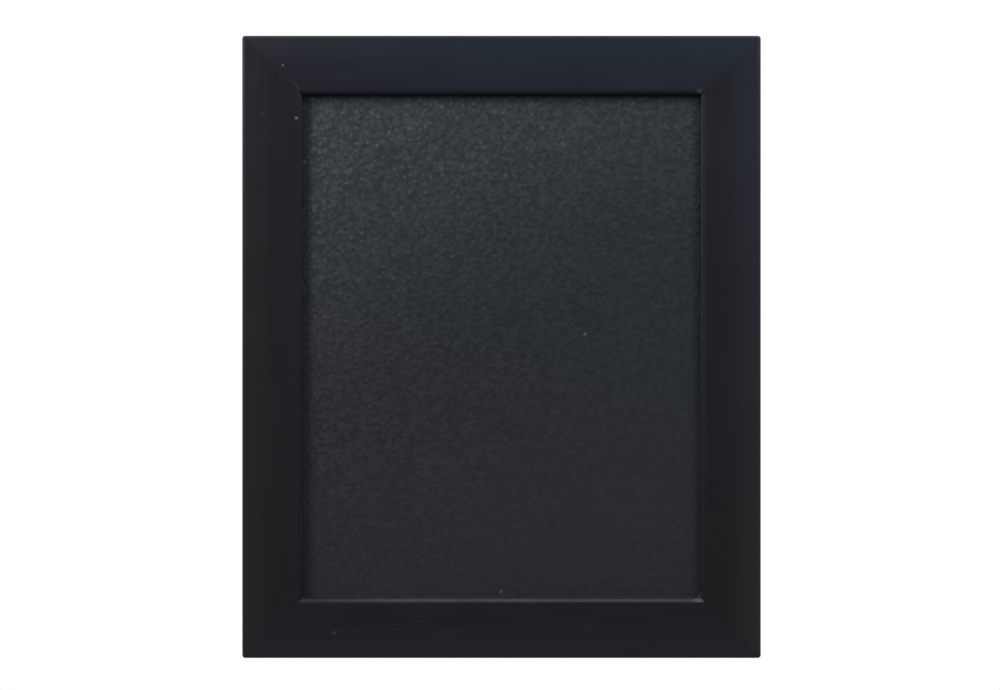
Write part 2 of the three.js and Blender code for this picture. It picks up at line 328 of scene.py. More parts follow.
# %% [markdown]
# Shape helpers. Each new piece is shaped in a bmesh, Blender's editable mesh, and becomes an object here:
# its doubles are merged, its faces turned outwards, and its corners kept sharp where they turn by more
# than an angle. The Weighted Normal modifier then lets flat faces look flat and only the rounded edges
# catch light.

# %% Shape helpers
MERGE = 0.0005 * MM
NODE_MERGE = 0.002 * MM
LEVEL_WITHIN = math.radians(0.3)
HARD_EDGE = math.radians(30)
SHARP = math.radians(42)


def finished(bm, name, material, body=BOARD, replaces=()):
    """Makes the shaped mesh one piece of the board."""
    bmesh.ops.remove_doubles(bm, verts=bm.verts, dist=MERGE)
    bmesh.ops.recalc_face_normals(bm, faces=bm.faces)
    mesh = bpy.data.meshes.new(name)
    bm.to_mesh(mesh)
    bm.free()
    mesh.shade_smooth()
    mesh.set_sharp_from_angle(angle=SHARP)
    mesh.materials.append(material)
    piece = bpy.data.objects.new(name, mesh)
    bpy.context.collection.objects.link(piece)
    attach(piece, body)
    if replaces:
        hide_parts(*replaces)
    return piece


def ease_edges(piece, width):
    """Rounds a piece's hard edges a little, as tumbling, plating or sandpaper does."""
    bevel = piece.modifiers.new("eased_edges", "BEVEL")
    bevel.width = width
    bevel.segments = 2
    bevel.limit_method = "ANGLE"
    bevel.angle_limit = HARD_EDGE


def keep_flats_flat(piece):
    """Leans the normals on the large faces, so that light bends only round the small ones."""
    weighted = piece.modifiers.new("flat_faces", "WEIGHTED_NORMAL")
    weighted.keep_sharp = True


def verts_of(items):
    """The vertices among the items that an operator hands back."""
    return [item for item in items if isinstance(item, bmesh.types.BMVert)]


def edges_of(items):
    """The edges among the items that an operator hands back."""
    return [item for item in items if isinstance(item, bmesh.types.BMEdge)]


def merged_copy(node_name):
    """A CAD node's own shape, joined up from its loose triangles into whole faces."""
    bm = bmesh.new()
    bm.from_mesh(frame["nodes"][node_name].data)
    bmesh.ops.remove_doubles(bm, verts=bm.verts, dist=NODE_MERGE)
    bmesh.ops.dissolve_limit(bm, angle_limit=LEVEL_WITHIN, verts=bm.verts, edges=bm.edges)
    return bm


print("Shape helpers ready")

# %% [markdown]
# Spots and lines. Small marks sit at known places on the board, so two more helpers give a mask there: 1
# on the mark, fading to 0 just beside it. The marks below were read off the photograph in millimetres.

# %% Marks
def spot(tree, vector, place, size):
    """1 at a place on the piece, fading to 0 at a distance of size."""
    return ramp(tree, distance_to(tree, vector, place), 0.3 * size, size, 1.0, 0.0)


def line_at(tree, value, place, half_width):
    """1 where a value is near a place, fading to 0 at half_width from it."""
    away = math_node(tree, "ABSOLUTE", math_node(tree, "SUBTRACT", value, place))
    return ramp(tree, away, 0.4 * half_width, half_width, 1.0, 0.0)


print("Mark helpers ready")

# %% [markdown]
# Black lacquer on wood. Real lacquer on a slim moulding isn't one flat black. Fine sanding streaks and
# broader brush bands run along each length, and the film pools and thins in slow clouds. A painted sheen
# makes the outer part a touch lighter, and painted cool light from above turns the upper and right parts
# a cool blue-black. The streaks are noise that is stretched along the grain, so the rails and the stiles
# need a look each.
#
# Black shows every reflection of a white room, so the shine is set low and the colour lower still:
# together they make the blue-black of the photograph.

# %% Lacquer looks
# In each look, cool sets the painted cool light, and the two entries after it set the painted sheen
RAIL = {
    "grain": "X", "across": "Z", "deep": (0.0019, 0.0018, 0.0024, 1), "thin": (0.0044, 0.0042, 0.0052, 1),
    "shine": (0.82, 0.78, 0.97, 1), "bands": 0.20,
    "cool": (0.40, 0.70), "sheen_up": (0.42, 1.02), "sheen_right": (1.0, 1.0),
}
STILE = {
    "grain": "Z", "across": "X", "deep": (0.0011, 0.0010, 0.0013, 1), "thin": (0.0027, 0.0026, 0.0030, 1),
    "shine": (0.86, 0.82, 0.95, 1), "bands": 0.10,
    "cool": (0.05, 0.40), "sheen_up": (0.68, 0.41), "sheen_right": (0.72, 1.25),
}
SHINE_LEVEL = 0.18
# The paler colour of the brush bands, and of the painted sheen on the outer parts
LACQUER_BANDS_AND_SHEEN = (0.0108, 0.0106, 0.0108, 1)
# Painted cool light from above
LACQUER_PAINTED_COOL_LIGHT = (0.0036, 0.0088, 0.0145, 1)
# Painted shade along the top rail's lower inner edge
LACQUER_PAINTED_SHADE = (0.0003, 0.0003, 0.0004, 1)
# Painted highlights on the stiles' inner edges and walls, and the pale curve at the upper left
PALE_LINE_TONE = (0.032, 0.033, 0.038, 1)
# Chalk dust on the bottom rail's inner edge, with a painted highlight on it
DUST_AND_HIGHLIGHT = (0.112, 0.104, 0.108, 1)
NIB = (0.16, 0.16, 0.165, 1)
WASHED_TIMBER = (0.022, 0.017, 0.014, 1)
timber_back = board_high.y
board_half = {"X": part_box("right_stile")[1].x, "Z": board_high.z}
inner_half = {"X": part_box("right_stile")[0].x, "Z": board_low.z}
print("Half the board and half its opening, mm:", in_mm(board_half.values()), in_mm(inner_half.values()))

# %% [markdown]
# Marks on the inner edges. Down the two sides, pale lines are painted highlights on the inner edges,
# stronger towards the top, with painted light a little way down the inner walls. The bottom edge holds
# chalk dust with a painted highlight on it, thin at the left and heaped in the right corner. A thin pale
# curve bends round the upper left corner. Each mark is a mask, and the lacquer below mixes its colour in
# where the mask is 1.

# %% Edge marks
PATCHY = (0.30, 0.62)
# Where the chalk dust and its painted highlight lie along the bottom rail
DUST_BELOW = 0.68 * MM
DUST_HALF_WIDTH = 0.90 * MM
DUST_THICKENS = (-78 * MM, -45 * MM)
DUST_HEAP = (73.0 * MM, 75.5 * MM)
DUST_ENDS = (77.2 * MM, 78.2 * MM)
# Where the painted highlights lie on the stiles' inner edges
PALE_HALF_WIDTH = 0.80 * MM
PALE_BESIDE_RIGHT = 0.05 * MM
PALE_BESIDE_LEFT = 0.30 * MM
PALE_RISE_RIGHT = (-60 * MM, 98 * MM)
PALE_RISE_LEFT = (84 * MM, 92 * MM)
# How far the painted light reaches down the stiles' inner walls
WALL_HALF_WIDTH = 1.0 * MM
WALL_FROM = 0.4 * MM
WALL_TO = 1.3 * MM
# A thin pale curve round the upper left inner corner
ARC_X = -84.0 * MM
ARC_Z = 97.4 * MM
ARC_RADIUS = 6.0 * MM
ARC_HALF_WIDTH = 0.45 * MM
ARC_FROM = 2.6 * MM
ARC_TO = 4.2 * MM
ARC_FADE = 1.0 * MM


def rail_edge_dust_and_highlight(tree, axes, clouds):
    """Chalk dust with a painted highlight along the bottom rail's inner edge, as a mask."""
    dust = line_at(tree, axes["Z"], -inner_half["Z"] - DUST_BELOW, DUST_HALF_WIDTH)
    patchy = ramp(tree, clouds, *PATCHY, 0.80, 1.0)
    thin_left = ramp(tree, axes["X"], *DUST_THICKENS, 0.11, 0.31)
    heap = ramp(tree, axes["X"], *DUST_HEAP, 0.0, 0.45)
    ends = ramp(tree, math_node(tree, "ABSOLUTE", axes["X"]), *DUST_ENDS, 1.0, 0.0)
    return product(tree, dust, patchy, added(tree, thin_left, heap), ends)


def stile_edge_highlights(tree, axes, clouds):
    """Painted highlights on the stiles' inner edges and painted light on their walls, as a mask."""
    uneven = ramp(tree, clouds, *PATCHY, 0.45, 1.0)
    right = line_at(tree, axes["X"], inner_half["X"] + PALE_BESIDE_RIGHT, PALE_HALF_WIDTH)
    left = line_at(tree, axes["X"], -inner_half["X"] - PALE_BESIDE_LEFT, PALE_HALF_WIDTH)
    higher = ramp(tree, axes["Z"], *PALE_RISE_RIGHT, 0.0, 0.26)
    top_left = ramp(tree, axes["Z"], *PALE_RISE_LEFT, 0.03, 0.20)
    edges = added(tree, product(tree, right, higher, uneven), product(tree, left, top_left))
    beside = line_at(tree, math_node(tree, "ABSOLUTE", axes["X"]), inner_half["X"], WALL_HALF_WIDTH)
    down_the_wall = ramp(tree, axes["Y"], front_face + WALL_FROM, front_face + WALL_TO, 0.0, 0.45)
    return added(tree, edges, product(tree, beside, down_the_wall))


def pale_curve(tree, flat, axes):
    """A thin pale curve at the upper left inner corner."""
    from_centre = distance_to(tree, flat, (ARC_X, front_face, ARC_Z))
    arc = line_at(tree, from_centre, ARC_RADIUS, ARC_HALF_WIDTH)
    right_part = ramp(tree, axes["X"], ARC_X + ARC_FROM, ARC_X + ARC_TO)
    upper_part = ramp(tree, axes["Z"], ARC_Z - ARC_FADE, ARC_Z + ARC_FADE)
    return product(tree, arc, right_part, upper_part)


print("Edge marks ready")

# %% [markdown]
# The lacquer itself. The film is built up in order: streaks, bands, a painted sheen, painted cool light,
# then the marks on the edges and a few nibs of dust under the film. Painted shade darkens the top rail's
# lower inner edge. Edges are duller than flats, and the back gets only a thin wash, so a little of the
# timber shows.

# %% Lacquer
STREAK_PITCH = 0.55 * MM
STREAK_LENGTH = 45 * MM
STREAK_DEPTH = 0.012 * MM
BAND_PITCH = 2.2 * MM
BAND_LENGTH = 170 * MM
PEEL_DEPTH = 0.010 * MM
# The painted sheen on the outer parts, and the painted cool light from above
SHEEN_STRIP = 14 * MM
SHEEN_FULL = 0.5 * MM
COOL_STRIP = 20 * MM
COOL_FULL = 2 * MM
COOL_LEAN = 0.8
COOL_RISE = (-20 * MM, 130 * MM)
# Painted shade along the top rail's lower inner edge
TOP_SHADE_FROM = 3.2 * MM
TOP_SHADE_TO = 0.5 * MM
ABOVE_MIDDLE = 1.0 * MM
FRONT_FROM = 2.8 * MM
FRONT_TO = 4.0 * MM
WASH_FROM = 0.10 * MM
WASH_TO = 0.02 * MM
DULL_BESIDE = 0.7 * MM
DULL_HALF_WIDTH = 1.4 * MM
# How much of the pale curve shows
ARC_SHARE = 0.30
# Each nib: its X and Z and its size in millimetres, and how much of it shows
NIBS = {
    "Z": ((-84.3, 108.5, 0.80, 0.30), (-64.3, -110.2, 1.10, 0.13), (76.4, 98.4, 1.50, 0.13)),
    "X": ((-79.0, 88.2, 0.95, 0.42), (-92.2, 89.9, 1.00, 0.08)),
}


def leaning(tree, axes, lean):
    """How high a place is, plus a share of how far right it is, or left where the lean is below zero."""
    return added(tree, axes["Z"], product(tree, axes["X"], lean))


def along_grain(tree, look, pitch, length, detail):
    """Noise that is drawn out along a length of moulding."""
    stretch = tuple(1 / length if axis == look["grain"] else 1 / pitch for axis in "XYZ")
    return noise(tree, place_on_piece(tree, stretch), 1.0, detail=detail, roughness=0.6)


def lacquer(name, look):
    """Lacquer whose streaks run along one axis and whose painted sheen shows far out along the other."""
    material, tree, shader = new_finish(name, Specular_IOR_Level=SHINE_LEVEL, Specular_Tint=look["shine"])
    across_axis = look["across"]
    flat = place_on_piece(tree)
    axes = split(tree, flat)
    streaks = along_grain(tree, look, STREAK_PITCH, STREAK_LENGTH, 3.0)
    bands = along_grain(tree, look, BAND_PITCH, BAND_LENGTH, 1.0)
    clouds = noise(tree, flat, 45.0, detail=2.0)
    peel = noise(tree, flat, 520.0, detail=1.0)
    outwards = math_node(tree, "ABSOLUTE", axes[across_axis])
    edge = board_half[across_axis]
    in_front = ramp(tree, axes["Y"], front_face + FRONT_FROM, front_face + FRONT_TO, 1.0, 0.0)
    behind = ramp(tree, axes["Y"], timber_back - WASH_FROM, timber_back - WASH_TO)

    pooled = added(tree, product(tree, streaks, 0.6), product(tree, clouds, 0.4))
    film = mixed(tree, ramp(tree, pooled, 0.35, 0.65), look["deep"], look["thin"])
    film = mixed(tree, ramp(tree, bands, 0.42, 0.64, 0.0, look["bands"]), film, LACQUER_BANDS_AND_SHEEN)
    # Painted sheen: the outer part is lighter, by how high and how far right it lies
    outer_sheen = product(
        tree,
        ramp(tree, outwards, edge - SHEEN_STRIP, edge - SHEEN_FULL),
        ramp(tree, axes["Z"], -board_half["Z"], board_half["Z"], *look["sheen_up"]),
        ramp(tree, axes["X"], -board_half["X"], board_half["X"], *look["sheen_right"]),
    )
    film = mixed(tree, outer_sheen, film, LACQUER_BANDS_AND_SHEEN)
    # Painted cool light from above on the outer parts, rising up and to the right
    cool = ramp(tree, outwards, edge - COOL_STRIP, edge - COOL_FULL, *look["cool"])
    cool = product(tree, cool, ramp(tree, leaning(tree, axes, COOL_LEAN), *COOL_RISE))
    film = mixed(tree, cool, film, LACQUER_PAINTED_COOL_LIGHT)
    # A thin pale curve at the upper left inner corner
    film = mixed(tree, product(tree, pale_curve(tree, flat, axes), ARC_SHARE), film, PALE_LINE_TONE)
    if across_axis == "Z":
        # Painted shade along the top rail's lower inner edge
        top_edge_shade = ramp(tree, axes["Z"], inner_half["Z"] + TOP_SHADE_FROM, inner_half["Z"] + TOP_SHADE_TO)
        top_rail_only = ramp(tree, axes["Z"], 0.0, ABOVE_MIDDLE)
        film = mixed(tree, product(tree, top_edge_shade, top_rail_only, in_front), film, LACQUER_PAINTED_SHADE)
        # Chalk dust with a painted highlight on the bottom rail's inner edge
        film = mixed(tree, product(tree, rail_edge_dust_and_highlight(tree, axes, clouds), in_front), film, DUST_AND_HIGHLIGHT)
    else:
        # Painted highlights on the stiles' inner edges, and painted light down their walls
        film = mixed(tree, product(tree, stile_edge_highlights(tree, axes, clouds), in_front), film, PALE_LINE_TONE)
    for x, z, size, share in NIBS[across_axis]:
        nib = spot(tree, flat, (x * MM, front_face, z * MM), size * MM)
        film = mixed(tree, product(tree, nib, share), film, NIB)
    film = mixed(tree, product(tree, behind, ramp(tree, streaks, 0.4, 0.7)), film, WASHED_TIMBER)
    feed(tree, shader.inputs["Base Color"], film)

    beside_edge = line_at(tree, outwards, inner_half[across_axis] + DULL_BESIDE, DULL_HALF_WIDTH)
    dull_edge = product(tree, beside_edge, in_front)
    gloss = added(tree, ramp(tree, pooled, 0.3, 0.7, 0.32, 0.42), product(tree, dull_edge, 0.28))
    feed(tree, shader.inputs["Roughness"], added(tree, gloss, product(tree, behind, 0.3)))
    orange_peel = relief(tree, peel, PEEL_DEPTH)
    feed(tree, shader.inputs["Normal"], relief(tree, streaks, STREAK_DEPTH, under=orange_peel))
    return material


rail_lacquer = lacquer("black_lacquer_along_rails", RAIL)
stile_lacquer = lacquer("black_lacquer_along_stiles", STILE)
print("Lacquer:", rail_lacquer.name, stile_lacquer.name)

# %% [markdown]
# The four lengths of moulding. The CAD model already has their whole section, with the rebate, the eased
# edges and the slots for nails and points, so each piece starts as a merged copy of its node. What the
# copy adds is what a finisher does after gluing: the mitres are closed, because lacquer fills the glue
# line, and the four corners of the board are eased with sandpaper. Planes laid round a small radius cut
# the tips off like that.

# %% Mouldings
GLUE_GAP = 0.1 * MM
FILLED = 0.9
CORNER_RADIUS = 1.5 * MM
CORNER_CUTS = 5
MITRE_WITHIN = 0.01 * MM


def close_mitres(bm, long_axis):
    """Moves each mitre face along the moulding until it nearly meets its neighbour."""
    offset = GLUE_GAP / 2 * math.sqrt(2)
    across = 2 if long_axis == 0 else 0
    half_long = board_half["XYZ"[long_axis]]
    half_across = board_half["XYZ"[across]]
    for vertex in bm.verts:
        from_end = half_long - abs(vertex.co[long_axis])
        from_side = half_across - abs(vertex.co[across])
        if abs(from_end - from_side - offset) < MITRE_WITHIN:
            vertex.co[long_axis] += math.copysign(offset * FILLED, vertex.co[long_axis])


def ease_corners(bm):
    """Cuts the board's outer corners off across their tips."""
    for side in (-1, 1):
        for up in (-1, 1):
            corner = Vector((side * board_half["X"], 0, up * board_half["Z"]))
            for step in range(1, CORNER_CUTS + 1):
                turn = math.pi / 2 * step / (CORNER_CUTS + 1)
                outwards = Vector((side * math.cos(turn), 0, up * math.sin(turn)))
                depth = CORNER_RADIUS * (math.cos(turn) + math.sin(turn) - 1)
                reach = corner.dot(outwards) - depth
                cut = bmesh.ops.bisect_plane(
                    bm,
                    geom=bm.verts[:] + bm.edges[:] + bm.faces[:],
                    plane_co=outwards * reach,
                    plane_no=outwards,
                    clear_outer=True,
                )
                rim = edges_of(cut["geom_cut"])
                if rim:
                    bmesh.ops.holes_fill(bm, edges=rim, sides=0)


def moulding(node_name, long_axis, material):
    """One length of moulding, made from its node. Its long axis is 0 for X or 2 for Z."""
    bm = merged_copy(node_name)
    close_mitres(bm, long_axis)
    ease_corners(bm)
    piece = finished(bm, "lacquered_" + node_name, material, replaces=[node_name])
    keep_flats_flat(piece)
    return piece


mouldings = [
    moulding("top_rail", 0, rail_lacquer),
    moulding("bottom_rail", 0, rail_lacquer),
    moulding("left_stile", 2, stile_lacquer),
    moulding("right_stile", 2, stile_lacquer),
]
print("Mouldings:", {piece.name: len(piece.data.polygons) for piece in mouldings})

# %% [markdown]
# The pebble of the writing face. Its front is a thin melamine sheet with a fine pebble, which gives chalk
# something to bite on and breaks the light of a lamp into sparks. The pebble is far smaller than a grain
# of rice, so it is relief in the material: a cell pattern rounds each pebble, and noise makes no two
# alike.

# %% Pebbles
PEBBLE_PITCH = 2.05 * MM
PEBBLE_DEPTH = 0.20 * MM
PEBBLE_WANDER = 0.9 * MM


def pebbles(tree, flat):
    """Rounded cells that wander off their grid: their height, and a random number for each."""
    wander = tree.nodes.new("ShaderNodeTexNoise")
    wander.inputs["Scale"].default_value = 400.0
    tree.links.new(flat, wander.inputs["Vector"])
    shifted = tree.nodes.new("ShaderNodeVectorMath")
    shifted.operation = "MULTIPLY_ADD"
    tree.links.new(wander.outputs["Color"], shifted.inputs[0])
    shifted.inputs[1].default_value = (PEBBLE_WANDER, PEBBLE_WANDER, PEBBLE_WANDER)
    tree.links.new(flat, shifted.inputs[2])
    cells = tree.nodes.new("ShaderNodeTexVoronoi")
    cells.feature = "SMOOTH_F1"
    cells.inputs["Scale"].default_value = 1 / PEBBLE_PITCH
    cells.inputs["Smoothness"].default_value = 0.5
    tree.links.new(shifted.outputs[0], cells.inputs["Vector"])
    height = ramp(tree, cells.outputs["Distance"], 0.0, 0.75, 1.0, 0.0)
    lot = split(tree, cells.outputs["Color"])["X"]
    return height, lot


print("Pebbles", round(PEBBLE_PITCH / MM, 2), "mm apart")

# %% [markdown]
# The writing face. A wiped board is never evenly black. The dye of the sheet is a little mottled, and
# painted cool light makes it cooler towards the upper right. A painted sheen lies as a haze on the tops
# of the pebbles, with painted glints as single bright dots and painted shade in darker spots, mostly
# high up and to the left, and painted shade beside the left stile. A line of dust lies along the lower
# edge, with a few stray specks. Each is a mask again, and most are a height on the board that leans to
# one side.

# %% Writing sheet
FINE_DEPTH = 0.018 * MM
SHEET_EASE = 0.12 * MM
FACE_DEEP = (0.0232, 0.0212, 0.0257, 1)
FACE_PALE = (0.0300, 0.0278, 0.0328, 1)
# Painted cool light towards the upper right
FACE_PAINTED_COOL_LIGHT = (0.0170, 0.0242, 0.0248, 1)
# Painted shade in darker spots, high up and to the left
FACE_PAINTED_SHADE = (0.0125, 0.0130, 0.0145, 1)
# Painted sheen as a haze on the pebble tops, and chalk dust along the lower edge
HAZE_SHEEN_AND_DUST = (0.074, 0.0755, 0.0775, 1)
# Painted glints as single bright dots, and stray chalk specks
SPECK_AND_GLINT = (0.20, 0.205, 0.21, 1)
FACE_COOL_LEAN = 0.3
FACE_COOL_RISE = (-70 * MM, 35 * MM)
# The painted sheen leans up to the left and rises over these heights, and the relief grows crisp there
SHEEN_LEAN = -0.42
SHEEN_RISE = (-5 * MM, 120 * MM)
CRISP_RISE = (-95 * MM, 20 * MM)
# Where the painted glints lie, leaning up to the left
GLINT_LEAN = -0.8
GLINT_RISE = (0.0, 125 * MM)
# Painted shade beside the left stile: the sheen fades in over these distances from it
STILE_SHADE_FROM = 1.5 * MM
STILE_SHADE_TO = 4.5 * MM
LEDGE_FROM = -0.1 * MM
LEDGE_TO = 0.9 * MM
# Each speck: its X and Z and its size in millimetres, and how much of it shows
DUST_SPECKS = (
    (32.3, 5.0, 0.95, 0.30),
    (-0.2, -94.6, 0.90, 0.30),
    (76.6, -96.7, 1.1, 0.35),
    (76.9, -95.4, 0.9, 0.20),
    (-76.4, -97.0, 1.0, 0.20),
)
sheet_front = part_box("writing_sheet")[0].y


def sheen_haze_mask(tree, axes, clouds, height, powder):
    """Painted sheen, most on the pebble tops and held low by the left stile as painted shade."""
    stile_side = -inner_half["X"]
    higher = ramp(tree, leaning(tree, axes, SHEEN_LEAN), *SHEEN_RISE)
    uneven = ramp(tree, clouds, 0.25, 0.7, 0.7, 1.0)
    # Painted shade beside the left stile, where the sheen is held low
    shade_by_stile = ramp(tree, axes["X"], stile_side + STILE_SHADE_FROM, stile_side + STILE_SHADE_TO, 0.15, 1.0)
    tops = product(tree, ramp(tree, powder, 0.38, 0.66), ramp(tree, height, 0.0, 0.6, 0.7, 1.0))
    return product(tree, higher, uneven, shade_by_stile, added(tree, 0.20, product(tree, tops, 0.34)))


def writing_face():
    material, tree, shader = new_finish("pebbled_chalk_face", Specular_IOR_Level=0.055)
    flat = place_on_piece(tree)
    axes = split(tree, flat)
    height, lot = pebbles(tree, flat)
    fine = noise(tree, flat, 1900.0, detail=2.0)
    clouds = noise(tree, flat, 30.0, detail=3.0)
    mottle = noise(tree, flat, 480.0, detail=2.0)
    powder = noise(tree, flat, 780.0, detail=2.0)
    crisp = ramp(tree, leaning(tree, axes, SHEEN_LEAN), *CRISP_RISE, 0.22, 1.0)

    uneven = added(tree, product(tree, ramp(tree, mottle, 0.30, 0.70), 0.18), product(tree, clouds, 0.25))
    tone = added(tree, product(tree, height, 0.22), uneven)
    face = mixed(tree, ramp(tree, tone, 0.03, 0.66), FACE_DEEP, FACE_PALE)
    # Painted cool light towards the upper right
    cool = ramp(tree, leaning(tree, axes, FACE_COOL_LEAN), *FACE_COOL_RISE, 0.0, 0.6)
    face = mixed(tree, cool, face, FACE_PAINTED_COOL_LIGHT)
    # Painted sheen, as a haze on the pebble tops, high up and to the left
    face = mixed(tree, sheen_haze_mask(tree, axes, clouds, height, powder), face, HAZE_SHEEN_AND_DUST)
    # Painted shade in darker spots, strongest high up and to the left
    shaded_spots = product(tree, ramp(tree, mottle, 0.60, 0.38), crisp, 0.42)
    face = mixed(tree, shaded_spots, face, FACE_PAINTED_SHADE)
    # Painted glints as single bright dots, mostly high up and to the left
    single = product(tree, ramp(tree, lot, 0.66, 0.97), ramp(tree, height, 0.30, 0.85))
    glint_dots = product(tree, single, ramp(tree, leaning(tree, axes, GLINT_LEAN), *GLINT_RISE))
    face = mixed(tree, product(tree, glint_dots, 0.15), face, SPECK_AND_GLINT)
    ledge = ramp(tree, axes["Z"], -inner_half["Z"] + LEDGE_FROM, -inner_half["Z"] + LEDGE_TO, 0.30, 0.0)
    face = mixed(tree, ledge, face, HAZE_SHEEN_AND_DUST)
    for x, z, size, share in DUST_SPECKS:
        speck = spot(tree, flat, (x * MM, sheet_front, z * MM), size * MM)
        face = mixed(tree, product(tree, speck, share), face, SPECK_AND_GLINT)
    feed(tree, shader.inputs["Base Color"], face)

    feed(tree, shader.inputs["Roughness"], ramp(tree, fine, 0.3, 0.7, 0.30, 0.42))
    pebbled = relief(tree, height, PEBBLE_DEPTH, strength=crisp)
    feed(tree, shader.inputs["Normal"], relief(tree, fine, FINE_DEPTH, under=pebbled))
    return material


bm = merged_copy("writing_sheet")
sheet = finished(bm, "melamine_sheet", writing_face(), replaces=["writing_sheet"])
ease_edges(sheet, SHEET_EASE)
keep_flats_flat(sheet)
print("Writing sheet, mm:", in_mm(sheet.dimensions))

# %% [markdown]
# The hardboard core. From behind, the rebate shows the back of a hardboard panel: brown, matt, with the
# print of the wire screen it was pressed on. Two sets of fine waves, one across and one up, make that
# print, and noise mottles the brown as pressed fibres do.

# %% Hardboard
SCREEN_PITCH = 1.3 * MM
SCREEN_DEPTH = 0.08 * MM
FIBRE_DEPTH = 0.04 * MM
PRINT_FROM = 0.3 * MM
PRINT_TO = 0.1 * MM
CORE_EASE = 0.25 * MM
FIBRE_DARK = (0.105, 0.047, 0.020, 1)
FIBRE_LIGHT = (0.215, 0.108, 0.050, 1)
panel_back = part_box("panel_core")[1].y


def pressed_hardboard():
    material, tree, shader = new_finish("pressed_hardboard", Specular_IOR_Level=0.2)
    flat = place_on_piece(tree)
    axes = split(tree, flat)
    turns = 2 * math.pi / SCREEN_PITCH
    waves = [math_node(tree, "SINE", product(tree, axes[axis], turns)) for axis in "XZ"]
    screen = ramp(tree, product(tree, *waves), -0.6, 0.6)
    behind = ramp(tree, axes["Y"], panel_back - PRINT_FROM, panel_back - PRINT_TO)
    fibres = noise(tree, place_on_piece(tree, (1.0, 1.0, 0.5)), 700.0, detail=4.0, roughness=0.65)
    mottle = noise(tree, flat, 60.0, detail=3.0)
    tone = added(tree, product(tree, fibres, 0.65), product(tree, mottle, 0.35))
    brown = mixed(tree, ramp(tree, tone, 0.32, 0.68), FIBRE_DARK, FIBRE_LIGHT)
    pits = product(tree, math_node(tree, "SUBTRACT", 1.0, screen), 0.35)
    feed(tree, shader.inputs["Base Color"], mixed(tree, pits, brown, FIBRE_DARK))
    feed(tree, shader.inputs["Roughness"], ramp(tree, fibres, 0.3, 0.7, 0.75, 0.92))
    printed = relief(tree, product(tree, screen, behind), SCREEN_DEPTH)
    feed(tree, shader.inputs["Normal"], relief(tree, fibres, FIBRE_DEPTH, under=printed))
    return material


bm = merged_copy("panel_core")
core = finished(bm, "hardboard_core", pressed_hardboard(), replaces=["panel_core"])
ease_edges(core, CORE_EASE)
keep_flats_flat(core)
print("Hardboard core, mm:", in_mm(core.dimensions))

# %% [markdown]
# Metals. Three things tell metals apart here: colour, how blurred the reflection is, and the marks that
# forming left. Rolled strip is grey, streaked and patchy with oil blue. Nickel plate is warm and almost
# smooth.

# %% Metals
STEEL_OILED = (0.19, 0.205, 0.235, 1)
STEEL_CLEAN = (0.33, 0.33, 0.335, 1)
NICKEL_DARK = (0.47, 0.45, 0.40, 1)
NICKEL_LIGHT = (0.60, 0.58, 0.53, 1)
PATCHES_PER_M = 180.0


def metal(name, dark, light, marks, mark_depth, gloss):
    """Metal in two tones, with drawn or rolled marks of a given stretch and a range of roughness."""
    material, tree, shader = new_finish(name, Metallic=1.0)
    lines = noise(tree, place_on_piece(tree, marks), 1.0, detail=3.0, roughness=0.6)
    patches = noise(tree, place_on_piece(tree), PATCHES_PER_M, detail=3.0)
    tone = added(tree, product(tree, lines, 0.4), product(tree, patches, 0.6))
    feed(tree, shader.inputs["Base Color"], mixed(tree, ramp(tree, tone, 0.35, 0.65), dark, light))
    feed(tree, shader.inputs["Roughness"], ramp(tree, tone, 0.3, 0.7, *gloss))
    feed(tree, shader.inputs["Normal"], relief(tree, lines, mark_depth))
    return material


rolled_steel = metal(
    "rolled_steel",
    STEEL_OILED,
    STEEL_CLEAN,
    marks=(900, 900, 90),
    mark_depth=0.006 * MM,
    gloss=(0.50, 0.34),
)
nickel = metal(
    "satin_nickel",
    NICKEL_DARK,
    NICKEL_LIGHT,
    marks=(1400, 1400, 220),
    mark_depth=0.002 * MM,
    gloss=(0.32, 0.20),
)
print("Metals:", rolled_steel.name, nickel.name)

# %% [markdown]
# V-nails and framer's points. Both are stamped from strip, so their shape is flat and exact, and the CAD
# nodes have it. A stamped edge is never razor sharp, though, and it is the tiny round on it that glints.
# So each is a merged copy with its edges eased.

# %% Nails and points
STAMPED_EASE = 0.06 * MM
stamped = []
for node_name in sorted(frame["nodes"]):
    if node_name.startswith(("v_nail_", "framer_point_")):
        bm = merged_copy(node_name)
        piece = finished(bm, "steel_" + node_name, rolled_steel, replaces=[node_name])
        ease_edges(piece, STAMPED_EASE)
        keep_flats_flat(piece)
        stamped.append(piece)
print("Stamped pieces:", len(stamped))

# %% [markdown]
# D-ring hangers. A strap of nickel-plated steel is folded round the straight side of a wire ring, and one
# screw goes through both of its ends. All of it follows from a few measures, the same as in the CAD
# model, so each hanger is drawn once round its own pivot and then moved to its stile.

# %% Hanger measures
WIRE_RADIUS = 0.9 * MM
WIRE_END_GAP = 0.3 * MM
RING_HALF_WIDTH = 6.15 * MM
RING_CORNER = 1.4 * MM
RING_LEAN = math.radians(4.6)
STRAP_THICKNESS = 0.8 * MM
STRAP_HALF = 4.25 * MM
FOLD_RADIUS = 1.6 * MM
LOWER_LAYER = 0.4 * MM
UPPER_LAYER = 1.3 * MM
SLOPE = math.radians(52)
BEND_RADIUS = 0.9 * MM
SCREW_HOLE = 1.65 * MM
SCREW_DROP = 6.317 * MM
FOLD_REACH = 3.017 * MM
PIVOT_HEIGHT = LOWER_LAYER + FOLD_RADIUS
ACROSS = Vector((1, 0, 0))
SIDES = ("left", "right")


def pivot_of(side):
    """Where a hanger's ring turns, from the joint that the frame declares."""
    joint = next(joint for joint in frame["joints"] if joint["name"] == side + "_ring_swing")
    return Vector(joint["pos_m"])


print("Pivots, mm:", [in_mm(pivot_of(side)) for side in SIDES])

